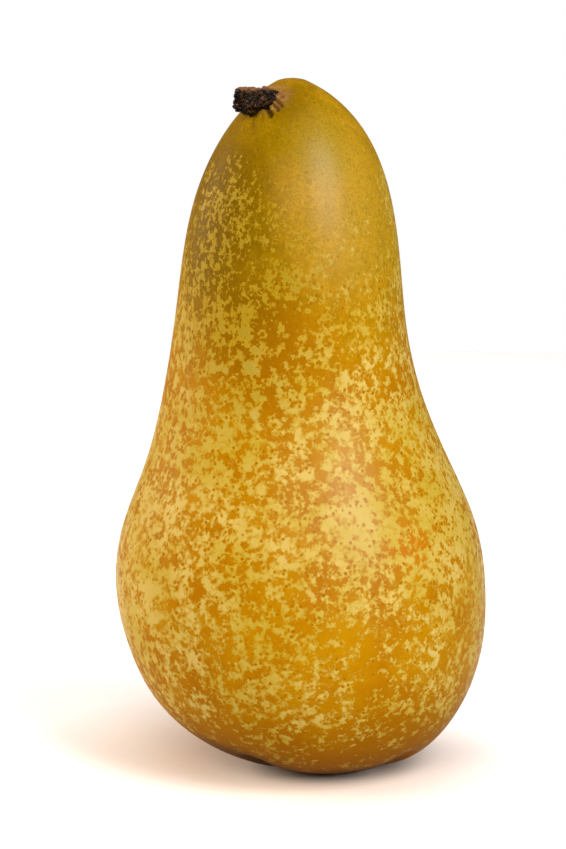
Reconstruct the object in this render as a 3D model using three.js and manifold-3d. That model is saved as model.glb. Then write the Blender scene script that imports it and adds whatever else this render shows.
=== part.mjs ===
// A pear that stands on the rim of its blossom end: the fruit, its woody stem, and the dry sepals
// and stamens of the flower in the basin underneath. Millimetres, +Z up, seen from the front along +Y.
// The origin is on the ground that the pear stands on, under the middle of the fruit.
import * as THREE from "three";
import { mergeVertices } from "three/addons/utils/BufferGeometryUtils.js";
import Module from "manifold-3d";

const wasm = await Module();
wasm.setup();
const { degToRad, smoothstep } = THREE.MathUtils;

// ---- Driving dimensions ----
const HEIGHT = 129; // from the ground to the top of the crown
const WIDTH = 70; // across the bulb, left to right
const DEPTH_SHARE = 0.97; // front to back, as a share of left to right
const SWAY = 1.6; // how far the middle of the fruit wanders front to back on its way up
const GAP = 0.3; // left between two pieces that touch

// The fruit's outline. Each station is [share of HEIGHT, share of half the WIDTH, lean towards +X].
const SIDE = [
  [0.0, 0.28, 5.4],
  [0.007, 0.385, 5.0],
  [0.032, 0.58, 3.8],
  [0.072, 0.755, 2.5],
  [0.125, 0.89, 1.6],
  [0.185, 0.972, 0.9],
  [0.255, 1.005, 0.0],
  [0.32, 0.99, -0.2],
  [0.38, 0.927, -0.2],
  [0.44, 0.822, -0.4],
  [0.5, 0.742, -1.1],
  [0.57, 0.668, -1.8],
  [0.65, 0.614, -2.0],
  [0.73, 0.584, -1.8],
  [0.8, 0.546, -1.6],
  [0.86, 0.488, -1.3],
  [0.92, 0.382, -1.0],
  [0.965, 0.248, -1.2],
  [0.99, 0.134, -1.7],
  [0.998, 0.06, -1.7],
];
const CROWN_LEAN = -1.7;

// The bulb is a little three-sided, and low ribs run out from the basin, one for each sepal.
const THREE_SIDED = 0.012;
const RIB_SIZE = 0.02;
const FIRST_RIB = degToRad(-95); // where the rib nearest to the front is, from +X towards +Y

// The basin inside the rim that the pear stands on, as [radius, height], and the eye in its floor.
const BASIN = [
  [6.3, 0],
  [6.0, 1.2],
  [5.2, 2.9],
  [4.0, 4.1],
  [2.5, 4.6],
];
const BASIN_LEAN = SIDE[0][2];
const EYE_DEPTH = 3;

// The stem starts inside the crown, and points left, forwards and a little up out of its shoulder.
const STEM_ROOT = new THREE.Vector3(-1.3, -1.7, 123.9);
const STEM_TURN = degToRad(218); // seen from above, from +X towards +Y
const STEM_RISE = degToRad(6);
const STEM_LENGTH = 12.5;
const STEM_SUNK = 6.4; // how much of it is inside the fruit
const STEM_RADIUS = 2.4;
const STEM_BEND = 0.5; // how far its tip is off its axis
const DIP_DEPTH = 1.5; // how far the shoulder is pushed in where the stem leaves it
const DIP_REACH = 4.5;

// Stations of the stub along the stem, from its root, as [share of the length, share of the radius].
const STEM = [
  [0.0, 0.62],
  [0.12, 0.86],
  [0.38, 1.04],
  [0.55, 1.0],
  [0.72, 0.94],
  [0.88, 1.04],
  [0.96, 0.98],
  [1.0, 0.78],
];

// A sepal lies along the basin's wall, and its tip bends inwards. Its middle line is [radius, height].
const SEPALS = 5;
const SEPAL_LINE = [
  [2.4, 4.0],
  [3.5, 3.5],
  [4.4, 2.5],
  [4.7, 1.3],
  [4.4, 0.6],
];
const SEPAL_WIDTH = 2.6;
const SEPAL_THICKNESS = 0.5;
const SEPAL_CURL = 0.3; // how far its edges curl inwards, as a share of half its width

// The stamens are one dry tuft that fills the eye, as [radius, height] from its root down.
const TUFT = [
  [1.2, 7.2],
  [1.45, 6.0],
  [1.3, 4.8],
  [1.6, 3.9],
  [1.9, 3.2],
  [1.5, 2.7],
  [0.7, 2.9],
];

// How finely things are divided.
const FRUIT_SIDES = 72;
const SMALL_SIDES = 20;

// ---- Helpers ----

// A curve through the points, which stays even where they lie unevenly.
function smooth(points) {
  return new THREE.CatmullRomCurve3(points, false, "centripetal");
}

// Moves each vertex of a geometry by change(vertex, its number).
function reshape(geometry, change) {
  const position = geometry.attributes.position;
  const vertex = new THREE.Vector3();
  for (let i = 0; i < position.count; i++) {
    change(vertex.fromBufferAttribute(position, i), i);
    position.setXYZ(i, vertex.x, vertex.y, vertex.z);
  }
  return geometry;
}

// Turns an outline of points (radius, lean, height) on a lathe, round an axis along +Z. It runs
// upwards on the outside. Each vertex is then moved by shape(vertex, its point of the outline).
function turned(outline, sides, shape) {
  const profile = outline.map((p) => new THREE.Vector2(p.x, p.z));
  const lathe = new THREE.LatheGeometry(profile, sides).rotateX(Math.PI / 2);
  return reshape(lathe, (vertex, i) => shape(vertex, outline[i % outline.length]));
}

function solidOf(geometry) {
  const bare = geometry.clone();
  bare.deleteAttribute("normal");
  bare.deleteAttribute("uv");
  const { attributes, index } = mergeVertices(bare, 1e-4);
  return new wasm.Manifold(
    new wasm.Mesh({
      numProp: 3,
      vertProperties: new Float32Array(attributes.position.array),
      triVerts: new Uint32Array(index.array),
    }),
  );
}

function geometryOf(solid) {
  const { vertProperties, triVerts } = solid.getMesh();
  return new THREE.BufferGeometry()
    .setAttribute("position", new THREE.BufferAttribute(vertProperties, 3))
    .setIndex(new THREE.BufferAttribute(triVerts, 1));
}

function mesh(name, geometry, color, roughness) {
  const material = new THREE.MeshStandardMaterial({ color, roughness, metalness: 0 });
  const piece = new THREE.Mesh(geometry, material);
  piece.name = name;
  return piece;
}

// ---- The stem ----
const stemAxis = new THREE.Vector3(
  Math.cos(STEM_TURN) * Math.cos(STEM_RISE),
  Math.sin(STEM_TURN) * Math.cos(STEM_RISE),
  Math.sin(STEM_RISE),
);

// The stub's outline along +Z. Its socket is the same outline, grown by a gap and open at the tip.
function stemOutline(gap, extraLength) {
  const stations = STEM.map(
    ([l, r]) => new THREE.Vector3(r * STEM_RADIUS + gap, 0, l * STEM_LENGTH - gap),
  );
  const side = smooth(stations).getPoints(2 * STEM.length);
  const end = side.at(-1).clone();
  end.z += gap + extraLength;
  const root = new THREE.Vector3(0, 0, side[0].z);
  return [root, ...side, end, new THREE.Vector3(0, 0, end.z)];
}

// The stub has ribs that turn a little along it, and it bends.
function gnarl(vertex, point) {
  const turn = Math.atan2(vertex.y, vertex.x);
  const along = point.z / STEM_LENGTH;
  const rib = 1 + 0.045 * Math.cos(4 * turn + 2.4 * along) + 0.03 * Math.cos(7 * turn - 1.5);
  vertex.x = vertex.x * rib + STEM_BEND * along ** 2;
  vertex.y *= rib;
}

function stemShape(gap, extraLength) {
  const upright = new THREE.Quaternion().setFromUnitVectors(new THREE.Vector3(0, 0, 1), stemAxis);
  return turned(stemOutline(gap, extraLength), SMALL_SIDES, gnarl)
    .applyQuaternion(upright)
    .translate(STEM_ROOT.x, STEM_ROOT.y, STEM_ROOT.z);
}

// ---- The fruit ----
function fruitOutline() {
  const side = SIDE.map(([h, w, lean]) => new THREE.Vector3((w * WIDTH) / 2, lean, h * HEIGHT));
  const crown = new THREE.Vector3(0, CROWN_LEAN, HEIGHT);
  // The curve goes on over the crown to its far side, so that the top is round.
  const over = side.at(-1).clone().multiply(new THREE.Vector3(-1, 1, 1));
  const curve = smooth([...side, crown, over]).getPoints(2 * (side.length + 1));
  const outside = curve.filter((p) => p.x > 1e-6);
  const wall = BASIN.map(([r, h]) => new THREE.Vector3(r, BASIN_LEAN, h)).reverse();
  const inside = smooth(wall).getPoints(2 * (wall.length - 1));
  const eye = inside[0].clone();
  eye.z += EYE_DEPTH;
  return [new THREE.Vector3(0, BASIN_LEAN, eye.z), eye, ...inside, ...outside, crown];
}

function shapeFruit(vertex, point) {
  const share = point.z / HEIGHT;
  const turn = Math.atan2(vertex.y, vertex.x);
  const sided = THREE_SIDED * Math.sin(3 * turn + 0.2) * smoothstep(share, 0.02, 0.2);
  const onSide = point.x > BASIN[0][0];
  const fade = onSide ? 1 - smoothstep(share, 0.03, 0.2) : 0;
  const out = 1 + sided + RIB_SIZE * Math.cos(SEPALS * (turn - FIRST_RIB)) * fade;
  vertex.x = vertex.x * out + point.y;
  vertex.y = vertex.y * out * DEPTH_SHARE;
  vertex.y += SWAY * Math.sin(1.6 * Math.PI * share) * smoothstep(share, 0.06, 0.3);
  // The shoulder dips where the stem leaves it.
  const exit = STEM_ROOT.clone().addScaledVector(stemAxis, STEM_SUNK);
  const near = Math.exp(-((vertex.distanceTo(exit) / DIP_REACH) ** 2));
  vertex.addScaledVector(stemAxis, -DIP_DEPTH * near);
}

function fruit() {
  const body = solidOf(turned(fruitOutline(), FRUIT_SIDES, shapeFruit));
  return geometryOf(body.subtract(solidOf(stemShape(GAP, STEM_RADIUS))));
}

// ---- The dry remains of the flower ----

// A pointed leaf: a thin box, bent along the sepal's line, with its edges curled inwards.
function sepal(number) {
  const line = smooth(SEPAL_LINE.map(([r, h]) => new THREE.Vector3(r, 0, h)));
  const leaf = reshape(new THREE.BoxGeometry(1, 2, SEPAL_THICKNESS, 8, 4, 1), (vertex) => {
    const u = vertex.x + 0.5;
    const across = vertex.y;
    const half = 0.08 + (SEPAL_WIDTH / 2) * (1 - u) ** 0.7;
    const along = line.getTangent(u);
    const outwards = new THREE.Vector3(-along.z, 0, along.x);
    const lift = vertex.z - SEPAL_CURL * half * across ** 2;
    vertex.copy(line.getPoint(u)).addScaledVector(outwards, lift);
    vertex.y = across * half;
  });
  const turn = FIRST_RIB + (number * 2 * Math.PI) / SEPALS;
  return leaf.rotateZ(turn).translate(BASIN_LEAN, 0, 0);
}

function stamens() {
  const stations = TUFT.map(([r, h]) => new THREE.Vector3(r, 0, h)).reverse();
  const side = smooth(stations).getPoints(2 * (TUFT.length - 1));
  const bottom = new THREE.Vector3(0, 0, side[0].z);
  const top = new THREE.Vector3(0, 0, side.at(-1).z);
  return turned([bottom, ...side, top], SMALL_SIDES, (vertex) => {
    const strands = 1 + 0.06 * Math.cos(SEPALS * Math.atan2(vertex.y, vertex.x));
    vertex.x = vertex.x * strands + BASIN_LEAN;
    vertex.y *= strands;
  });
}

// ---- The pear ----
const pear = new THREE.Group();
pear.add(mesh("fruit", fruit(), 0xc99a2e, 0.5));
pear.add(mesh("stem", stemShape(0, 0), 0x2e2016, 0.8));
for (let i = 0; i < SEPALS; i++) pear.add(mesh(`sepal_${i + 1}`, sepal(i), 0x4a3420, 0.8));
pear.add(mesh("stamens", stamens(), 0x3a2a1a, 0.9));

const box = new THREE.Box3().setFromObject(pear);
const middle = box.getCenter(new THREE.Vector3());
pear.position.set(-middle.x, -middle.y, -box.min.z);

export default pear;
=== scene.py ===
# %% [markdown]
# # A russeted pear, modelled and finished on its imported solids
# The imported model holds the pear's size and place: one solid for the fruit, a stub of a stem, five
# sepals and a tuft of stamens. All of them are plain. This lesson builds the surfaces that are seen,
# each in the space of its solid. It starts by loading the frame and keeping its box. The outline, the
# rim and the places of the sepals are measured on the solids. The stem's two ends, the basin's
# rings, the folds and the patches of colour are plain numbers, in millimetres of the same frame.

import math
import random

import bpy
import numpy as np
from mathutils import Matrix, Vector
from mathutils.bvhtree import BVHTree


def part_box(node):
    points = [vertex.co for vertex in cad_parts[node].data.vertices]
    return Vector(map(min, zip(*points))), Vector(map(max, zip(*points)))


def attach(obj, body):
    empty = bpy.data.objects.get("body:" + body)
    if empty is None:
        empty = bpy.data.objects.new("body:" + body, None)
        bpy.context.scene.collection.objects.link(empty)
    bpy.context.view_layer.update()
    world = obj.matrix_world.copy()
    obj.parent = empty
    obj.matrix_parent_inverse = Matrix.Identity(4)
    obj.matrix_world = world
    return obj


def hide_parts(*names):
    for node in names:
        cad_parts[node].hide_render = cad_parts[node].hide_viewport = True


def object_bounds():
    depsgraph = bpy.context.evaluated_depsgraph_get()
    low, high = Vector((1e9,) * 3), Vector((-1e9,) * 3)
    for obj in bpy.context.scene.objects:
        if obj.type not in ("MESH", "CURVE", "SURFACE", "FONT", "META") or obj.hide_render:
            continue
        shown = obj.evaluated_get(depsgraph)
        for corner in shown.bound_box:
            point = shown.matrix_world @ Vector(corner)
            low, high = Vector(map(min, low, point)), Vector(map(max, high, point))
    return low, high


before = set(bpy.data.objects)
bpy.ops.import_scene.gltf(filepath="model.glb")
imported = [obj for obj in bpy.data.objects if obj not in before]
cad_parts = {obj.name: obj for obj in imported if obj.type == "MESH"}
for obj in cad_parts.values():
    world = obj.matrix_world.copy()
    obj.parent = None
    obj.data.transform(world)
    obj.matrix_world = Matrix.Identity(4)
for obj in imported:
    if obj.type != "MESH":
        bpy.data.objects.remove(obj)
cad_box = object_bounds()
MM = 0.001
WIDTH = cad_box[1].x - cad_box[0].x
HEIGHT = cad_box[1].z
print(f"the pear is {WIDTH / MM:.1f} mm wide and {HEIGHT / MM:.1f} mm tall")

# %% [markdown]
# ## The camera
# A tall thing looks right through a long lens from a little above: the sides stay parallel and the
# outline is honest. The camera looks at a point halfway up, a little to the left of the middle,
# so that the stem gets some room.

# %% Camera
CAMERA_DISTANCE = 520 * MM
CAMERA_RISE = math.radians(9)
LENS = 118.1
AIM_HEIGHT = 64.6 * MM
AIM_LEFT = 3.3 * MM
aim = Vector((-AIM_LEFT, 0, AIM_HEIGHT))
camera = bpy.data.objects.new("camera", bpy.data.cameras.new("camera"))
bpy.context.scene.collection.objects.link(camera)
back = Vector((0, -math.cos(CAMERA_RISE), math.sin(CAMERA_RISE)))
camera.location = aim + back * CAMERA_DISTANCE
camera.rotation_euler = (-back).to_track_quat("-Z", "Y").to_euler()
camera.data.lens = LENS
camera.data.clip_start = 10 * MM
bpy.context.scene.camera = camera
print(f"the camera is {camera.location.z / MM:.0f} mm above the table")

# %% [markdown]
# ## The floor and the light
# The set is a white table with a white surround, and four soft boxes. The key stands in front on
# the right and gives the long soft highlight and the short shadow. A low one on the left lights the
# edge there. A small warm one in front fills the shaded side, and a weak one hangs overhead. One
# lamp could light a pear too, but its shaded side would go dull. The surround fills the rest, and
# the standard view transform keeps white paper white.

# %% Floor
FLOOR_RADIUS = 600 * MM
FLOOR_SIDES = 96


def pick_nothing():
    """Lets go of everything that is selected, so that an operator acts on its own piece only."""
    bpy.ops.object.select_all(action="DESELECT")


pick_nothing()
bpy.ops.mesh.primitive_circle_add(vertices=FLOOR_SIDES, radius=FLOOR_RADIUS, fill_type="NGON")
floor = bpy.context.object
floor.name = "floor"
print(f"a round floor, {FLOOR_RADIUS * 2 / MM:.0f} mm across")

# %% Lights
def soft_box(name, turn, rise, distance, width, height, watts, colour=(1, 1, 1)):
    """A light box that faces the pear. turn is degrees to the right of the camera."""
    light = bpy.data.lights.new(name, "AREA")
    light.shape = "RECTANGLE"
    light.size = width
    light.size_y = height
    light.energy = watts
    light.color = colour
    box = bpy.data.objects.new(name, light)
    bpy.context.scene.collection.objects.link(box)
    a, e = math.radians(turn), math.radians(rise)
    out = Vector((math.sin(a) * math.cos(e), -math.cos(a) * math.cos(e), math.sin(e)))
    box.location = Vector((0, 0, HEIGHT / 2)) + out * distance
    box.rotation_euler = (-out).to_track_quat("-Z", "Y").to_euler()
    print(f"the {name} box, {turn} degrees round and {rise} up, {watts} W")


soft_box("key", 44, 34, distance=1.1, width=0.55, height=0.9, watts=23)
soft_box("edge", -106, 15, distance=1.1, width=0.9, height=0.5, watts=22, colour=(1.0, 0.88, 0.76))
soft_box("fill", -14, 30, distance=0.9, width=0.7, height=0.35, watts=8, colour=(1.0, 0.86, 0.7))
soft_box("top", 20, 80, distance=1.2, width=1.0, height=1.0, watts=4, colour=(1.0, 0.9, 0.8))

# %% Surround
FRONT_AIR, BACK_AIR = 0.2, 0.42
WARM_AIR = (1.0, 0.8, 0.62, 1)
WHITE = (1, 1, 1, 1)
world = bpy.data.worlds.new("surround")
bpy.context.scene.world = world
world.use_nodes = True
air = world.node_tree
way = air.nodes.new("ShaderNodeTexCoord").outputs["Generated"]
parts = air.nodes.new("ShaderNodeSeparateXYZ")
air.links.new(way, parts.inputs[0])
behind = air.nodes.new("ShaderNodeMapRange")
behind.interpolation_type = "SMOOTHSTEP"
air.links.new(parts.outputs["Y"], behind.inputs["Value"])
behind.inputs["From Min"].default_value = -0.5
behind.inputs["From Max"].default_value = 0.7
behind.inputs["To Min"].default_value = FRONT_AIR
behind.inputs["To Max"].default_value = BACK_AIR
warm = air.nodes.new("ShaderNodeBackground")
warm.inputs["Color"].default_value = WARM_AIR
air.links.new(behind.outputs[0], warm.inputs["Strength"])
seen = air.nodes.new("ShaderNodeMixShader")
air.links.new(air.nodes.new("ShaderNodeLightPath").outputs["Is Camera Ray"], seen.inputs[0])
air.links.new(warm.outputs[0], seen.inputs[1])
air.nodes["Background"].inputs["Color"].default_value = WHITE
air.links.new(air.nodes["Background"].outputs[0], seen.inputs[2])
air.links.new(seen.outputs[0], air.nodes["World Output"].inputs["Surface"])
bpy.context.scene.view_settings.view_transform = "Standard"
print(f"a white surround that lights the back at {BACK_AIR} and the front at {FRONT_AIR}")

# %% [markdown]
# ## The paper
# Bare white paper would throw so much light under the pear that it would seem to hover. So a painted
# shadow, warmed with painted light thrown back from the pear, darkens the paper right round the foot,
# and turns pale again a few centimetres out.

# %% Floor paper
# The near colour is a painted shadow, warmed with painted light that the pear throws on the paper.
PAINTED_SHADOW_PAPER, FAR_PAPER = (0.58, 0.5, 0.44, 1), (0.8, 0.82, 0.9, 1)
NEAR_REACH, FAR_REACH = 20 * MM, 58 * MM
paper = bpy.data.materials.new("white_paper_with_painted_shadow")
paper.use_nodes = True
sheet = paper.node_tree
paper_surface = sheet.nodes["Principled BSDF"]
from_pear = sheet.nodes.new("ShaderNodeVectorMath")
from_pear.operation = "LENGTH"
sheet.links.new(sheet.nodes.new("ShaderNodeTexCoord").outputs["Object"], from_pear.inputs[0])
outwards = sheet.nodes.new("ShaderNodeMapRange")
sheet.links.new(from_pear.outputs["Value"], outwards.inputs["Value"])
outwards.inputs["From Min"].default_value = NEAR_REACH
outwards.inputs["From Max"].default_value = FAR_REACH
paler = sheet.nodes.new("ShaderNodeMix")
paler.data_type = "RGBA"
sheet.links.new(outwards.outputs[0], paler.inputs[0])
paler.inputs[6].default_value = PAINTED_SHADOW_PAPER
paler.inputs[7].default_value = FAR_PAPER
sheet.links.new(paler.outputs[2], paper_surface.inputs["Base Color"])
paper_surface.inputs["Roughness"].default_value = 0.9
paper_surface.inputs["Specular IOR Level"].default_value = 0.1
floor.data.materials.append(paper)
print(f"warm paper to {NEAR_REACH / MM:.0f} mm, pale from {FAR_REACH / MM:.0f} mm")

# %% [markdown]
# ## The body of the fruit
# A pear is a body of rings: a deep basin underneath with the dry flower in it, a rim to stand on,
# a round bulb, a long neck and a blunt crown. It could be turned on a lathe, but a real one is
# never quite round. So a cage of rings is extruded from the eye of the basin, down its wall, over
# the rim, and up the outside. Each ring gets the width that the solid has at its height. The cage
# is then wrapped on to the solid, which gives it the ribs and the lean, and subdivided smooth.

# %% Measuring the solid
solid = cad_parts["fruit"].data
solid_surface = BVHTree.FromPolygons(
    [v.co.copy() for v in solid.vertices], [tuple(p.vertices) for p in solid.polygons]
)
FAR = 100 * MM
ABOVE_RIM = 0.6 * MM
RIM_GUESS = 5.3 * MM


def section(height, inside):
    """The middle and half widths of the solid's outside at a height, seen past a point inside."""
    reach = []
    for way in (Vector((1, 0, 0)), Vector((0, 1, 0))):
        near = solid_surface.ray_cast(Vector((inside, 0, height)) + way * FAR, -way)[0]
        far = solid_surface.ray_cast(Vector((inside, 0, height)) - way * FAR, way)[0]
        reach.append((near.dot(way), far.dot(way)))
    (right, left), (behind, front) = reach
    middle = Vector(((right + left) / 2, (behind + front) / 2, height))
    return middle, (right - left) / 2, (behind - front) / 2


rim_middle, rim_radius, rim_depth = section(ABOVE_RIM, RIM_GUESS)
print(f"the rim is {rim_radius / MM:.1f} mm in radius, {rim_middle.x / MM:.1f} mm off the middle")

# %% The rings of the cage
SIDES = 36
BASIN_RINGS = [(1.6, 7.4), (2.5, 6.3), (2.6, 5.0), (4.0, 4.15)]
BASIN_RINGS += [(5.1, 2.9), (5.9, 1.4), (6.4, 0.25)]
RIM_RINGS = [(7.0, 0.0), (8.2, 0.0), (9.3, 0.0)]
SIDE_RINGS = 25
TOP_RING = 128.2 * MM
TURN_START, TURN_SHARE, TURN_ALL = 0.055, 0.945, 0.955
ARC_HEIGHT = 1.99
NECK_LEAN = 2 * MM
rings = []
for radius, height in BASIN_RINGS + RIM_RINGS:
    middle = Vector((rim_middle.x, rim_middle.y, height * MM))
    rings.append((middle, radius * MM, radius * MM * rim_depth / rim_radius))
for step in range(SIDE_RINGS):
    # The rings stand closer where the outline turns in, at the foot and at the crown.
    share = (step + 1) / SIDE_RINGS
    turn = math.pi * (TURN_START + TURN_SHARE * share) * TURN_ALL
    height = min(TOP_RING * (1 - math.cos(turn)) / ARC_HEIGHT, TOP_RING)
    inside = rim_middle.x * max(0, 1 - share * 4) - NECK_LEAN * min(1, share * 3)
    rings.append(section(height, inside))
top_middle, top_width, _ = rings[-1]
print(f"{len(rings)} rings, the last {top_middle.z / MM:.1f} mm up, {top_width * 2 / MM:.1f} wide")

# %% Extruding the cage
pick_nothing()
middle, half_width, half_depth = rings[0]
bpy.ops.mesh.primitive_circle_add(vertices=SIDES, radius=half_width, location=middle)
pear = bpy.context.object
pear.name = "pear_skin"
bpy.ops.object.transform_apply(location=True, rotation=True, scale=True)
bpy.ops.object.mode_set(mode="EDIT")
bpy.ops.mesh.select_all(action="SELECT")
for next_middle, next_width, next_depth in rings[1:]:
    bpy.ops.mesh.extrude_region_move(TRANSFORM_OT_translate={"value": next_middle - middle})
    bpy.ops.transform.resize(
        value=(next_width / half_width, next_depth / half_depth, 1), center_override=next_middle
    )
    middle, half_width, half_depth = next_middle, next_width, next_depth
bpy.ops.mesh.fill_grid(span=SIDES // 4)
bpy.ops.object.mode_set(mode="OBJECT")
print(f"the cage has {len(pear.data.polygons)} faces")


# %% Selecting by place
def places_of(parts, name="co"):
    """Where all vertices or faces of a mesh are, one row each."""
    flat = np.empty(len(parts) * 3)
    parts.foreach_get(name, flat)
    return flat.reshape(-1, 3)


def pick(piece, test, mode="VERT"):
    """Selects the vertices or faces of a piece whose places pass a test, and opens edit mode."""
    bpy.ops.object.mode_set(mode="EDIT")
    bpy.ops.mesh.select_mode(type=mode)
    bpy.ops.mesh.select_all(action="DESELECT")
    bpy.ops.object.mode_set(mode="OBJECT")
    if mode == "VERT":
        parts, places = piece.data.vertices, places_of(piece.data.vertices)
    else:
        parts, places = piece.data.polygons, places_of(piece.data.polygons, "center")
    parts.foreach_set("select", test(places))
    bpy.ops.object.mode_set(mode="EDIT")


def far(places, middle):
    """How far each place is from a point."""
    return np.linalg.norm(places - np.array(middle), axis=1)


eye_radius, eye_height = BASIN_RINGS[0]
eye_middle = (rim_middle.x, rim_middle.y, eye_height * MM)
pick(pear, lambda p: far(p, eye_middle) < (eye_radius + 0.4) * MM)
bpy.ops.mesh.fill_grid(span=SIDES // 4)
bpy.ops.mesh.select_all(action="SELECT")
bpy.ops.mesh.normals_make_consistent(inside=False)
bpy.ops.object.mode_set(mode="OBJECT")
print(f"with its eye closed it has {len(pear.data.polygons)} faces")

# %% Wrapping the cage on to the solid
STEM_TIP = Vector((-11.15, -10.35, 125.2)) * MM
STEM_EXIT = Vector((-6.4, -6.4, 124.6)) * MM
stem_way = (STEM_TIP - STEM_EXIT).normalized()
LEFT_ALONE = 5.0 * MM
on_solid = pear.vertex_groups.new(name="on_solid")
kept = [v.index for v in pear.data.vertices if (v.co - STEM_EXIT).length > LEFT_ALONE]
on_solid.add(kept, 1, "REPLACE")
wrap = pear.modifiers.new("wrap", "SHRINKWRAP")
wrap.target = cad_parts["fruit"]
wrap.wrap_method = "NEAREST_SURFACEPOINT"
wrap.vertex_group = "on_solid"
bpy.ops.object.modifier_apply(modifier="wrap")
pick(pear, lambda p: far(p, STEM_EXIT) < LEFT_ALONE)
bpy.ops.mesh.vertices_smooth(factor=0.5, repeat=3)
bpy.ops.object.mode_set(mode="OBJECT")
print(f"{len(pear.data.vertices) - len(kept)} vertices round the stem were smoothed")

# %% Smoothing the cage
smooth = pear.modifiers.new("smooth", "SUBSURF")
smooth.levels = smooth.render_levels = 3
bpy.ops.object.modifier_apply(modifier="smooth")
bpy.ops.object.shade_smooth()
low = min(v.co.z for v in pear.data.vertices)
print(f"{len(pear.data.polygons)} faces, lowest {low / MM:.3f} mm")

# %% [markdown]
# ## The folds round the stem
# Where the stem leaves the shoulder the flesh has shrunk. It stands up in a lip on the right of the
# stem, and folds run down from the lip, with dark creases between them. Each is a short line of
# points. The vertices beside the line are selected and pushed along their normals, and
# proportional editing takes the skin round them along. How deep each vertex ends up in a crease is
# kept in an attribute, so that the finish can darken it with darker skin and painted shade.

# %% A finer net round the stem
FOLDED = 5.6 * MM
pick(pear, lambda p: far(p, STEM_EXIT) < FOLDED, "FACE")
bpy.ops.mesh.subdivide(number_cuts=1, smoothness=0)
bpy.ops.object.mode_set(mode="OBJECT")
print(f"{len(pear.data.polygons)} faces with the finer net")


# %% Pressing and lifting along a line
def away_from(places, line):
    """How far each place is from a line through points."""
    nearest = np.full(len(places), 1.0)
    for start, end in zip(line, line[1:]):
        way = np.array(end - start)
        along = (places - np.array(start)) @ way / (way @ way)
        foot = np.array(start) + np.clip(along, 0, 1)[:, None] * way
        nearest = np.minimum(nearest, np.linalg.norm(places - foot, axis=1))
    return nearest


pear.data.attributes.new("crease", "FLOAT", "POINT")
DARK_SHARE = 0.75


def push(points, amount, reach, darkness=0.0, width=0.2):
    """Pushes the skin out along a line of points by amount, all in millimetres, or in if below 0."""
    line = [Vector(point) * MM for point in points]
    before = away_from(places_of(pear.data.vertices), line)
    pick(pear, lambda p: away_from(p, line) < width * MM)
    bpy.ops.transform.shrink_fatten(
        value=amount * MM,
        use_proportional_edit=True,
        proportional_edit_falloff="SMOOTH",
        proportional_size=reach * MM,
    )
    bpy.ops.object.mode_set(mode="OBJECT")
    kept = np.empty(len(pear.data.vertices))
    pear.data.attributes["crease"].data.foreach_get("value", kept)
    shade_here = darkness * np.clip(1 - before / (reach * DARK_SHARE * MM), 0, 1)
    pear.data.attributes["crease"].data.foreach_set("value", np.maximum(kept, shade_here))


# Each fold has how far it is pushed, how far round it the skin follows, how dark it gets (darker skin
# and painted shade), its line.
FOLDS = [
    (-0.9, 0.8, 1.0, [(-7.0, -6.0, 125.6), (-6.3, -9.1, 124.1), (-5.6, -11.2, 122.6)]),
    (-0.6, 0.5, 1.0,
        [(-6.5, -6.9, 125.6), (-5.6, -8.7, 124.9), (-4.6, -10.2, 124.2), (-4.3, -11.0, 123.6)]),
    (-0.45, 0.45, 0.9,
        [(-6.0, -6.2, 126.3), (-5.3, -7.6, 125.9), (-4.6, -9.1, 125.1), (-3.7, -10.6, 124.2)]),
    (-0.25, 0.5, 0.35, [(-4.6, -6.6, 126.7), (-3.5, -8.8, 125.8)]),
    (0.35, 0.4, 0.0, [(-5.8, -9.2, 124.2), (-5.2, -10.3, 123.6)]),
    (0.3, 0.35, 0.0, [(-6.2, -6.9, 125.9), (-5.1, -9.0, 125.0), (-4.4, -10.1, 124.4)]),
    (-0.2, 0.9, 0.4, [(-8.6, -9.2, 122.4), (-8.8, -10.2, 121.3), (-8.7, -11.2, 120.5)]),
    (-0.2, 0.5, 0.3, [(-7.3, -10.6, 122.3), (-7.0, -11.4, 121.5)]),
    (-0.2, 0.4, 0.8, [(-9.9, -10.9, 119.8), (-9.6, -11.2, 119.7)]),
    (0.65, 2.4, 0.0, [(-6.3, -4.6, 126.8), (-5.2, -7.6, 125.9), (-4.7, -9.6, 124.8)]),
]
for amount, reach, darkness, line in FOLDS:
    push(line, amount, reach, darkness)
print(f"{len(FOLDS)} folds round the stem")

# %% [markdown]
# ## The furrows of the foot
# Five shallow furrows leave the basin between the sepals and fade on the underside of the bulb, so
# the pear stands on the swellings between them. They could be cut into the cage, but it is too
# coarse for them. The same push along a line presses them into the smooth skin. Each line is laid
# on the solid from below, so that it follows the round of the foot.

# %% Furrows that run out of the basin
FURROWS = [(-131, 11.5, 20.5, -0.9), (-41, 11, 19, -0.8), (13, 10, 16, -0.5)]
FURROWS += [(85, 10, 17, -0.6), (157, 10, 17, -0.6)]
FURROW_REACH = 3.2
FURROW_WIDTH = 0.6
FURROW_STEPS = 5
for turn, start, end, amount in FURROWS:
    way = Vector((math.cos(math.radians(turn)), math.sin(math.radians(turn)), 0))
    line = []
    for step in range(FURROW_STEPS + 1):
        out = rim_middle + way * (start + (end - start) * step / FURROW_STEPS) * MM
        line.append(solid_surface.ray_cast(Vector((out.x, out.y, -FAR)), Vector((0, 0, 1)))[0] / MM)
    push(line, amount, FURROW_REACH, width=FURROW_WIDTH)
low = min(v.co.z for v in pear.data.vertices)
print(f"{len(FURROWS)} furrows, and the pear still stands at {low / MM:.2f} mm")

# %% [markdown]
# ## The stem
# The stem has snapped off and dried to a black, knobbly stub, a little thicker at its end than at
# its neck. It is made upright and squat: rings are extruded from a circle, the end is sunk in, and
# three Displace modifiers raise knobs and bark. Then it is stretched, so that the bark runs along
# it, and laid over to where the solid has it. Sculpted by hand it would take far longer.

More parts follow.
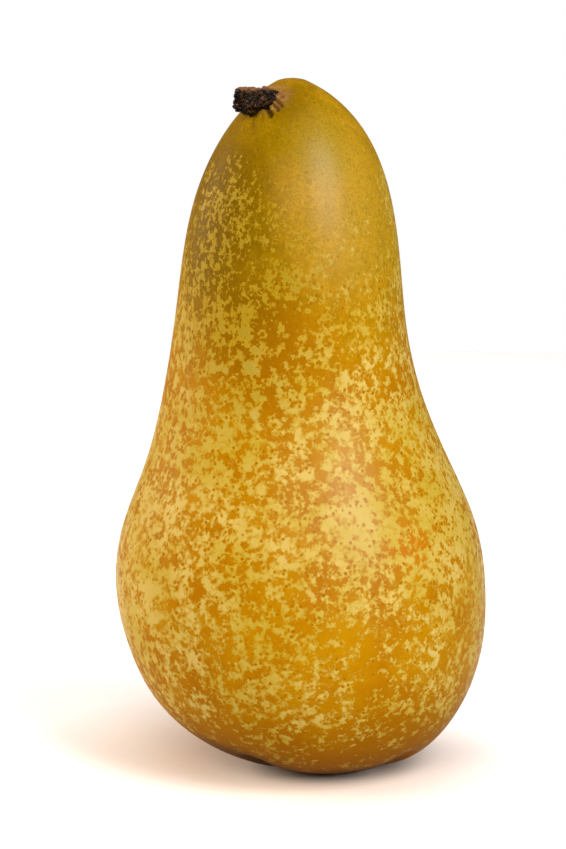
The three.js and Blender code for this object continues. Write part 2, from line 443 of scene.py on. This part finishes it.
# %% The rings of the stem
SQUASHED = 0.6
STEM_RINGS = [(-3.2, 2.3), (-1.6, 2.7), (0.0, 2.75), (1.4, 2.5)]
STEM_RINGS += [(2.6, 2.45), (3.9, 2.55), (5.1, 2.5)]
STEM_END = [(5.8, 2.2), (6.0, 1.5), (5.7, 0.6)]


def upright_rings(name, rings, sides):
    """A closed body of rings on the upright axis, each given as its height and radius in mm."""
    pick_nothing()
    height, radius = rings[0]
    start = (0, 0, height * MM)
    bpy.ops.mesh.primitive_circle_add(vertices=sides, radius=radius * MM, location=start)
    piece = bpy.context.object
    piece.name = name
    bpy.ops.object.transform_apply(location=True, rotation=True, scale=True)
    bpy.ops.object.mode_set(mode="EDIT")
    bpy.ops.mesh.select_all(action="SELECT")
    bpy.ops.mesh.extrude_region_move(TRANSFORM_OT_translate={"value": (0, 0, 0)})
    bpy.ops.mesh.merge(type="CENTER")
    pick(piece, lambda p: np.hypot(p[:, 0], p[:, 1]) > radius * MM / 2)
    for next_height, next_radius in rings[1:]:
        rise = (next_height - height) * MM
        bpy.ops.mesh.extrude_region_move(TRANSFORM_OT_translate={"value": (0, 0, rise)})
        share = next_radius / radius
        middle = (0, 0, next_height * MM)
        bpy.ops.transform.resize(value=(share, share, 1), center_override=middle)
        height, radius = next_height, next_radius
    bpy.ops.mesh.extrude_region_move(TRANSFORM_OT_translate={"value": (0, 0, 0)})
    bpy.ops.mesh.merge(type="CENTER")
    bpy.ops.mesh.select_all(action="SELECT")
    bpy.ops.mesh.normals_make_consistent(inside=False)
    bpy.ops.object.mode_set(mode="OBJECT")
    return piece


squat = [(h * SQUASHED, r) for h, r in STEM_RINGS + STEM_END]
stem = upright_rings("stem_stub", squat, sides=20)
print(f"the stub has {len(stem.data.polygons)} faces before its bark")


# %% Bark
def finish_with(piece, name, kind, **settings):
    """Adds a modifier with its settings and applies it."""
    pick_nothing()
    piece.select_set(True)
    bpy.context.view_layer.objects.active = piece
    modifier = piece.modifiers.new(name, kind)
    for key, setting in settings.items():
        setattr(modifier, key, setting)
    bpy.ops.object.modifier_apply(modifier=name)


def roughen(piece, size, height, detail=2):
    """Raises and sinks the surface of a piece by soft lumps of a size, both in millimetres."""
    lumps = bpy.data.textures.new("lumps", "CLOUDS")
    lumps.noise_scale = size * MM
    lumps.noise_depth = detail
    settings = {"texture": lumps, "texture_coords": "LOCAL", "mid_level": 0.5}
    finish_with(piece, "rough", "DISPLACE", strength=height * MM, **settings)


finish_with(stem, "smooth", "SUBSURF", levels=3, render_levels=3)
roughen(stem, size=1.4, height=1.0, detail=1)
roughen(stem, size=0.5, height=0.9, detail=2)
roughen(stem, size=0.2, height=0.25, detail=1)
print(f"and {len(stem.data.polygons)} faces with it")

# %% Laying the stem over
bpy.ops.object.mode_set(mode="EDIT")
bpy.ops.mesh.select_all(action="SELECT")
bpy.ops.transform.resize(value=(1, 1, 1 / SQUASHED), center_override=(0, 0, 0))
bpy.ops.object.mode_set(mode="OBJECT")
stem.rotation_euler = stem_way.to_track_quat("Z", "Y").to_euler()
stem.location = STEM_EXIT
bpy.ops.object.transform_apply(location=True, rotation=True, scale=True)
bpy.ops.object.shade_smooth()
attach(stem, "root")
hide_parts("stem")
leftmost = min(v.co.x for v in stem.data.vertices)
solid_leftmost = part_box("stem")[0][0]
print(f"the stub reaches x = {leftmost / MM:.1f} mm, and its solid {solid_leftmost / MM:.1f} mm")

# %% [markdown]
# ## The dry flower in the basin
# Underneath, the basin keeps what is left of the flower: five dry sepals that lie along its wall
# and curl in at their tips, round a tuft of stamens. Nobody sees them while the pear stands, but
# it can be picked up. One sepal is drawn out from an edge, step by step, thickened and crumpled,
# and copied five times. One stamen is a thread with a knob, copied and leant outwards at random.

# %% One sepal
boxes = [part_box(f"sepal_{number}") for number in range(1, 6)]
middles = [(Vector(low) + Vector(high)) / 2 for low, high in boxes]
basin = sum(middles, Vector()) / len(middles)
basin.z = 0
SEPAL_ROOT = (3.0, 4.0, 1.0)
SEPAL_STEPS = [(2.5, 4.0, 1.15), (3.3, 3.6, 1.15), (4.1, 2.9, 0.95), (4.6, 2.0, 0.62)]
SEPAL_STEPS += [(4.65, 1.2, 0.32), (4.3, 0.65, 0.08)]
SEPAL_THICKNESS = 0.22
MIDRIB = (0.3 * MM, 0, 0.1 * MM)
radius, height, half = SEPAL_ROOT
root_middle = radius - half
pick_nothing()
bpy.ops.mesh.primitive_plane_add(size=2 * half * MM, location=(root_middle * MM, 0, height * MM))
sepal = bpy.context.object
bpy.ops.object.transform_apply(location=True, rotation=True, scale=True)
pick(sepal, lambda p: p[:, 0] > root_middle * MM)
for number, (next_radius, next_height, next_half) in enumerate(SEPAL_STEPS):
    step = ((next_radius - radius) * MM, 0, (next_height - height) * MM)
    if number == 0:
        bpy.ops.transform.translate(value=step)
    else:
        bpy.ops.mesh.extrude_region_move(TRANSFORM_OT_translate={"value": step})
    middle = (next_radius * MM, 0, next_height * MM)
    bpy.ops.transform.resize(value=(1, next_half / half, 1), center_override=middle)
    radius, height, half = next_radius, next_height, next_half
bpy.ops.object.mode_set(mode="OBJECT")
finish_with(sepal, "across", "SUBSURF", levels=1, render_levels=1, subdivision_type="SIMPLE")
pick(sepal, lambda p: abs(p[:, 1]) < 0.02 * MM)
bpy.ops.transform.translate(value=MIDRIB)
bpy.ops.object.mode_set(mode="OBJECT")
finish_with(sepal, "thick", "SOLIDIFY", thickness=SEPAL_THICKNESS * MM, offset=0)
finish_with(sepal, "smooth", "SUBSURF", levels=2, render_levels=2)
roughen(sepal, size=0.8, height=0.35)
print(f"one sepal has {len(sepal.data.polygons)} faces")

# %% Five sepals
sepals = []
for number, middle in enumerate(middles, 1):
    piece = sepal.copy()
    piece.data = sepal.data.copy()
    piece.name = f"dry_sepal_{number}"
    bpy.context.scene.collection.objects.link(piece)
    pick_nothing()
    piece.select_set(True)
    bpy.context.view_layer.objects.active = piece
    toward = middle - basin
    piece.rotation_euler.z = math.atan2(toward.y, toward.x)
    piece.location = basin
    bpy.ops.object.transform_apply(location=True, rotation=True, scale=True)
    bpy.ops.object.shade_smooth()
    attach(piece, "root")
    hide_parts(f"sepal_{number}")
    sepals.append(piece)
bpy.data.objects.remove(sepal)
print(f"{len(sepals)} sepals round a basin {basin.x / MM:.1f} mm off the middle")

# %% Stamens
STAMENS = 15
STAMEN_TURN = 2.4
TUFT_RADIUS = 1.05
STAMEN_RINGS = [(2.9, 0.05), (3.0, 0.24), (3.4, 0.3), (3.8, 0.22)]
STAMEN_RINGS += [(4.0, 0.11), (5.4, 0.12), (7.1, 0.2)]
draw = random.Random(7)
thread = upright_rings("stamen", STAMEN_RINGS, sides=6)
finish_with(thread, "smooth", "SUBSURF", levels=1, render_levels=1)
threads = []
for number in range(STAMENS):
    copy = thread.copy()
    copy.data = thread.data.copy()
    bpy.context.scene.collection.objects.link(copy)
    turn = number * STAMEN_TURN
    spread = TUFT_RADIUS * math.sqrt((number + 0.5) / STAMENS)
    copy.location = basin + Vector((math.cos(turn), math.sin(turn), 0)) * spread * MM
    copy.location.z = draw.uniform(-0.1, 0.6) * MM
    lean = spread * draw.uniform(0.02, 0.1)
    copy.rotation_euler = (lean * math.sin(turn), -lean * math.cos(turn), draw.uniform(0, 6))
    threads.append(copy)
bpy.data.objects.remove(thread)
pick_nothing()
for copy in threads:
    copy.select_set(True)
bpy.context.view_layer.objects.active = threads[0]
bpy.ops.object.transform_apply(location=True, rotation=True, scale=True)
bpy.ops.object.join()
tuft = bpy.context.object
tuft.name = "stamen_tuft"
roughen(tuft, size=0.5, height=0.15)
bpy.ops.object.shade_smooth()
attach(tuft, "root")
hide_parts("stamens")
print(f"{STAMENS} stamens, {len(tuft.data.polygons)} faces")

# %% [markdown]
# ## Finishes written as sums
# A finish is a tree of nodes. Most of them only add, multiply or compare, so a small class holds
# a socket, and a sum on it adds its Math node. Every other node comes from one method, which takes
# the node's type, its settings and its sockets. The skin can then be written as its layers are.

# %% A socket that adds its own nodes
class Value:
    """The output of a node. A sum on it adds a Math node to the same tree."""

    def __init__(self, tree, socket):
        self.tree = tree
        self.socket = socket

    def node(self, kind, settings=None, sockets=None, output=0):
        """Adds a node: its settings first, then what goes into its sockets."""
        made = self.tree.nodes.new(kind)
        for name, setting in (settings or {}).items():
            setattr(made, name, setting)
        for key, given in (sockets or {}).items():
            if isinstance(given, Value):
                self.tree.links.new(given.socket, made.inputs[key])
            else:
                made.inputs[key].default_value = given
        return Value(self.tree, made.outputs[output])

    def math(self, operation, *values):
        sockets = dict(enumerate(values))
        return self.node("ShaderNodeMath", {"operation": operation}, sockets)

    def __add__(self, other):
        return self.math("ADD", self, other)

    __radd__ = __add__

    def __sub__(self, other):
        return self.math("SUBTRACT", self, other)

    def __rsub__(self, other):
        return self.math("SUBTRACT", other, self)

    def __mul__(self, other):
        return self.math("MULTIPLY", self, other)

    __rmul__ = __mul__

    def most(self, other):
        return self.math("MAXIMUM", self, other)

    def step(self, start, end):
        """0 before start and 1 after end, with a soft change between them."""
        settings = {"interpolation_type": "SMOOTHSTEP"}
        sockets = {"Value": self, "From Min": start, "From Max": end}
        return self.node("ShaderNodeMapRange", settings, sockets)

    def split(self):
        made = self.tree.nodes.new("ShaderNodeSeparateXYZ")
        self.tree.links.new(self.socket, made.inputs[0])
        return [Value(self.tree, made.outputs[i]) for i in range(3)]

    def stretched(self, x=1, y=1, z=1):
        sockets = {0: self, 1: (x, y, z)}
        return self.node("ShaderNodeVectorMath", {"operation": "MULTIPLY"}, sockets)

    def moved(self, other):
        return self.node("ShaderNodeVectorMath", {"operation": "ADD"}, {0: self, 1: other})

    def noise(self, size, detail=2.0, roughness=0.5, warp=0.0):
        """Soft noise whose blotches are about size across."""
        sockets = {"Vector": self, "Scale": 1 / size, "Detail": detail}
        sockets |= {"Roughness": roughness, "Distortion": warp}
        return self.node("ShaderNodeTexNoise", {}, sockets)

    def spots(self, size, output=0):
        """Points about size apart: how far the nearest is, as a share of size, or its own colour."""
        return self.node("ShaderNodeTexVoronoi", {}, {"Vector": self, "Scale": 1 / size}, output)

    def between(self, first, second):
        """The first colour where this is 0, and the second where it is 1."""
        made = self.tree.nodes.new("ShaderNodeMix")
        made.data_type = "RGBA"
        for number, given in ((0, self), (6, first), (7, second)):
            if isinstance(given, Value):
                self.tree.links.new(given.socket, made.inputs[number])
            else:
                made.inputs[number].default_value = given
        return Value(self.tree, made.outputs[2])


print("sums on sockets are ready")

# %% Colours, finishes and bumps
SET_LIGHT = 2.85


def shade(red, green, blue):
    """What reflects a colour, given as it looks on a screen under the set's strong light."""
    parts = [c / 255 for c in (red, green, blue)]
    light = [c / 12.92 if c <= 0.04045 else ((c + 0.055) / 1.055) ** 2.4 for c in parts]
    return (*(c / SET_LIGHT for c in light), 1.0)


def new_finish(name):
    """A material, its surface shader, and the place on the piece in millimetres."""
    material = bpy.data.materials.new(name)
    material.use_nodes = True
    surface = material.node_tree.nodes["Principled BSDF"]
    start = Value(material.node_tree, None)
    place = start.node("ShaderNodeTexCoord", output="Object").stretched(1 / MM, 1 / MM, 1 / MM)
    return material, surface, place


def bump(height, depth):
    """The normal of a surface that has a height in millimetres times depth."""
    return height.node("ShaderNodeBump", {}, {"Height": height, "Distance": depth * MM})


print(f"finishes are mixed for a light of {SET_LIGHT}")

# %% [markdown]
# ## The skin
# The skin is pale yellow under a thin coat of russet, a golden brown cork. On the neck and the
# crown the cork is nearly whole. Lower down it breaks up into small ragged flakes, and on the bulb
# the yellow takes up more than half. It could be painted fleck by fleck, but a rule covers every
# side alike: a ragged noise decides where the cork lies. It lies where the noise is over a limit,
# and the limit changes over the pear. Just under the limit the cork is thin and lighter. Breathing
# pores are dark dots, each with a little cork round it.

# %% Patches with a ragged edge
skin, skin_surface, place = new_finish("russet_skin")
x, y, z = place.split()
ragged = place.noise(9, 3, 0.6) * 0.8 - 0.4
PORE_SPACING = 1.3
HARD, SOFT, SOFTER = 0.3, 0.6, 0.7


def patch(middle, size, soft=0.35):
    """1 inside an egg round a middle, 0 outside it, with a ragged soft edge."""
    away = place.moved(tuple(-c for c in middle)).stretched(*(1 / s for s in size))
    length = away.node("ShaderNodeVectorMath", {"operation": "LENGTH"}, {0: away}, "Value")
    return 1 - (length + ragged).step(1 - soft, 1 + soft)


print("a patch is an egg with a ragged edge")

# %% The noises of the cork
cloud = place.noise(18, 2, 0.5)
upright = z - (z - 80).most(0) * 0.12
flake_place = x.node("ShaderNodeCombineXYZ", {}, {0: x, 1: y, 2: upright})
flakes = flake_place.noise(1.75, 7, 0.66)
flakes = flakes + (flake_place.noise(1.1, 7, 0.7) - flakes) * z.step(76, 98)
tufts = flake_place.noise(4.5, 3, 0.55)
fine = flake_place.noise(0.6, 3, 0.6)
pores = flake_place.spots(PORE_SPACING)
print("flakes of about 2 mm, tufts of 4.5 mm and clouds of 18 mm")

# %% How much of the skin is cork
crown, upper_neck, lower_neck = z.step(104, 120), z.step(86, 104), z.step(66, 82)
low_bulb, foot = z.step(42, 24), z.step(20, 5)
cover = 0.46 + 0.36 * crown + 0.12 * upper_neck + 0.08 * lower_neck
cover = cover + 0.06 * low_bulb + 0.22 * foot
COVER_PATCHES = [
    (0.10, (4, -18, 112), (8, 9, 10)),
    (-0.20, (-13, -12, 106), (6, 10, 11)),
    (0.20, (14, -30, 27), (7, 9, 7.5)),
    (0.06, (27, -21, 34), (7, 10, 10)),
    (0.14, (-2, -21, 86), (6, 6, 5)),
    (0.16, (-2, -34, 38), (8, 8, 6)),
    (-0.14, (12, -30, 53), (7, 8, 6)),
    (-0.25, (18, -2, 106), (6, 10, 14)),
    (-0.12, (-31, -8, 46), (9, 22, 26)),
    (-0.08, (31, -8, 46), (8, 22, 26)),
]
for amount, middle, size in COVER_PATCHES:
    cover = cover + amount * patch(middle, size)
cover = cover + (cloud - 0.5) * 0.35
print(f"cork by height, and {len(COVER_PATCHES)} patches of more or less of it")

# %% Where the cork lies
limit = 0.5 - (cover - 0.5) * 0.40
depth = flakes + (tufts - 0.5) * 0.28 + (fine - 0.5) * 0.26 - limit
near_pore = 1 - pores.step(0.05, 0.38)
depth = depth + near_pore * 0.2
cork = depth.step(-0.025, 0.05)
thin = depth.step(-0.11, -0.01)
print("cork, and its thin edge")

# %% [markdown]
# ## The colours of the skin
# The yellow ground is greener on the left of the neck, and darker there with painted shade. The cork
# is golden on the bulb, darker brown towards the foot with painted shade, and olive on the neck,
# where a green mottle, a pale lace and a fine dark grain show in it. A few wide tints shift it from
# place to place: one on the right of the bulb is reddish, and a lighter tan on the right of the neck
# is painted highlight. On top come the pores, the tan skin, the creases round the stem darkened with
# darker skin and painted shade, the brown of the basin, and painted shade and a painted shadow on the
# foot. The skin is dull, with a thin wax on the side that faces the key light.

# %% The colours of the skin
ground = place.noise(14, 3, 0.6).step(0.3, 0.7)
colour = ground.between(shade(215, 184, 64), shade(235, 205, 112))
# The left side of the neck is greener, and darker with painted shade where the key light does not
# reach.
neck_green_and_shade = patch((-8, -16, 96), (14, 14, 24), SOFT)
colour = (neck_green_and_shade * 0.75).between(colour, shade(168, 142, 6))
colour = (thin * 0.7).between(colour, shade(210, 166, 20))
warmth = place.noise(10, 4, 0.6).step(0.3, 0.7)
brown = warmth.between(shade(192, 124, 0), shade(208, 148, 0))
# Darker brown towards the foot is painted shade, because less light reaches the bottom of the bulb.
brown = z.step(24, 2).between(brown, shade(180, 112, 0))
up_neck = z.step(74, 104)
brown = up_neck.between(brown, shade(207, 157, 10))
mottle = place.noise(2.6, 7, 0.75).step(0.36, 0.64) * z.step(72, 92)
brown = (mottle * 0.75).between(brown, shade(166, 132, 6))
lace = place.noise(1.5, 7, 0.78).step(0.53, 0.62) * z.step(78, 94)
brown = (lace * 0.55).between(brown, shade(232, 182, 44))
TINTS_AND_PAINTED_HIGHLIGHT = [
    (0.85, (-7, -20, 82), (12, 10, 12), (172, 112, 0)),
    (0.85, (-13, -12, 103), (11, 14, 20), (122, 92, 0)),
    (0.6, (-1, -12, 119), (6, 7, 6), (150, 122, 0)),
    (0.5, (-2, -8, 125), (4.5, 6, 4), (116, 84, 0)),
    # A lighter tan on the right of the neck, under the key light's highlight, is painted highlight.
    (0.6, (9, -16, 109), (10, 10, 15), (206, 164, 44)),
    (0.5, (4, -17, 116), (4, 8, 5), (168, 146, 14)),
    (0.6, (20, -25, 46), (5, 7, 4), (214, 118, 10)),
    (0.6, (34, -6, 50), (4, 7, 7), (190, 120, 40)),
]
for amount, middle, size, tint in TINTS_AND_PAINTED_HIGHLIGHT:
    brown = (amount * patch(middle, size, SOFTER)).between(brown, shade(*tint))
colour = cork.between(colour, brown)
grain = place.noise(0.42, 3, 0.75).step(0.42, 0.66)
colour = (grain * 0.32 * z.step(84, 108)).between(colour, shade(96, 66, 0))
print(f"two yellows, four browns and {len(TINTS_AND_PAINTED_HIGHLIGHT)} tints")

# %% The pores
lot = flake_place.spots(PORE_SPACING, output=1).split()[0]
fewer = 1 - z.step(84, 104) * 0.6
ring = (1 - pores.step(0.12, 0.24)) * lot.step(0.0, 0.6) * fewer
colour = (ring * 0.8).between(colour, up_neck.between(shade(184, 120, 0), shade(130, 92, 0)))
pit = (1 - pores.step(0.04, 0.13)) * lot.step(0.3, 1.0) * fewer
colour = (pit * 0.7).between(colour, shade(140, 80, 0))
print(f"a pore about every {PORE_SPACING} mm")

# %% The basin, the stem's seat and the foot
tan_brown = place.noise(1.2, 4, 0.6).step(0.3, 0.7).between(shade(84, 46, 6), shade(150, 96, 24))
in_basin = patch((basin.x / MM, basin.y / MM, 4), (6.2, 6.2, 4.5), HARD)
colour = (in_basin * 0.75).between(colour, tan_brown)
tan = place.noise(0.8, 3, 0.6).step(0.35, 0.65).between(shade(158, 108, 48), shade(190, 142, 92))
round_stem = patch((-5.2, -7.8, 125.6), (3.2, 3.8, 3.0), 0.5)
colour = (round_stem * 0.8).between(colour, tan)
# The creases are darkened: partly darker skin, partly painted shade that falls in them.
crease_colour_and_shade = place.node("ShaderNodeAttribute", {"attribute_name": "crease"}, output="Fac")
colour = (crease_colour_and_shade * 0.75).between(colour, shade(44, 26, 8))
# Painted shade darkens the foot towards the ground, and a painted shadow lies darker still on its
# lower left.
painted_foot_shade = (z + ragged).step(5.0, 0.5)
colour = (painted_foot_shade * 0.8).between(colour, shade(100, 54, 0))
painted_contact_shadow = patch((-13, -14, 3), (10, 9, 5), SOFT)
colour = (painted_contact_shadow * 0.8).between(colour, shade(60, 30, 0))
print("a brown basin, a tan seat with dark creases, and a dark foot")

# %% Gloss, wax and bump
skin.node_tree.links.new(colour.socket, skin_surface.inputs["Base Color"])
rough = 0.3 + cork * 0.08
skin.node_tree.links.new(rough.socket, skin_surface.inputs["Roughness"])
skin_surface.inputs["Specular IOR Level"].default_value = 0.01
waxy_bulb = patch((11, -30, 56), (12, 12, 16), 0.8)
waxy = waxy_bulb.most(patch((6, -18, 108), (8, 9, 14), SOFTER))
skin.node_tree.links.new((waxy * 0.26).socket, skin_surface.inputs["Coat Weight"])
skin_surface.inputs["Coat Roughness"].default_value = 0.38
normal = bump(cork * 0.5 + fine * 0.6 + place.noise(0.5, 2) * 0.3, 0.05)
skin.node_tree.links.new(normal.socket, skin_surface.inputs["Normal"])
pear.data.materials.append(skin)
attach(pear, "root")
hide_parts("fruit")
print(f"the skin's finish has {len(skin.node_tree.nodes)} nodes")

# %% [markdown]
# ## The bark
# The stub is nearly black, with worn golden flecks on its knobs and a tan skin along its top,
# where the cork of the fruit runs on to it. It has a little gloss, so its knobs catch the light.
# The knobs are real, so the finish only adds what is too fine for them: specks, worn streaks, and
# thin curled lines where one noise crosses its own middle.

# %% The finish of the stem
bark, bark_surface, place = new_finish("stem_bark")
across = place.moved(tuple(-c / MM for c in STEM_EXIT))
streaks = across.noise(0.9, 4, 0.6, 0.8)
specks = across.noise(0.4, 3, 0.6)
dark = specks.step(0.45, 0.75).between(shade(6, 3, 2), shade(38, 20, 5))
curls = across.noise(1.1, 2, 0.5, 1.2)
from_middle = curls - 0.5
curl = 1 - from_middle.math("ABSOLUTE", from_middle).step(0.006, 0.02)
worn = (streaks + (specks - 0.5) * 0.4).step(0.63, 0.7)
colour = (worn * 0.9).between(dark, shade(150, 104, 22))
colour = (curl * specks.step(0.42, 0.6)).between(colour, shade(160, 100, 44))
z = place.split()[2]
sheath = (z + (streaks - 0.5) * 2.0).step(126.7, 127.3)
colour = (sheath * 0.85).between(colour, shade(160, 110, 70))
bark.node_tree.links.new(colour.socket, bark_surface.inputs["Base Color"])
gloss = specks.step(0.3, 0.7) * 0.2 + 0.3
bark.node_tree.links.new(gloss.socket, bark_surface.inputs["Roughness"])
bark_surface.inputs["Specular IOR Level"].default_value = 0.08
normal = bump(streaks + specks * 0.5, 0.25)
bark.node_tree.links.new(normal.socket, bark_surface.inputs["Normal"])
stem.data.materials.append(bark)
print(f"the bark's finish has {len(bark.node_tree.nodes)} nodes")

# %% [markdown]
# ## The dry brown of the flower
# Sepals and stamens are dead leaf: dull brown, paler in worn patches and darker in others.
# One recipe serves both, with its own two browns.

# %% The finish of the sepals and stamens
def dry_leaf(name, deep, pale, size):
    """Dead leaf in two browns, with veins about size millimetres across."""
    leaf, leaf_surface, place = new_finish(name)
    veins = place.noise(size, 4, 0.6, 0.5)
    worn = place.noise(size * 0.3, 3, 0.6).step(0.5, 0.72)
    colour = veins.step(0.35, 0.65).between(deep, pale)
    colour = (worn * 0.5).between(colour, shade(196, 160, 110))
    leaf.node_tree.links.new(colour.socket, leaf_surface.inputs["Base Color"])
    dull = veins * 0.2 + 0.7
    leaf.node_tree.links.new(dull.socket, leaf_surface.inputs["Roughness"])
    leaf_surface.inputs["Specular IOR Level"].default_value = 0.1
    normal = bump(veins + worn * 0.4, 0.15)
    leaf.node_tree.links.new(normal.socket, leaf_surface.inputs["Normal"])
    return leaf


sepal_finish = dry_leaf("dry_sepal", shade(70, 42, 20), shade(142, 98, 54), 0.9)
for piece in sepals:
    piece.data.materials.append(sepal_finish)
tuft.data.materials.append(dry_leaf("dry_stamen", shade(46, 26, 14), shade(110, 72, 40), 0.5))
print("two dry browns")
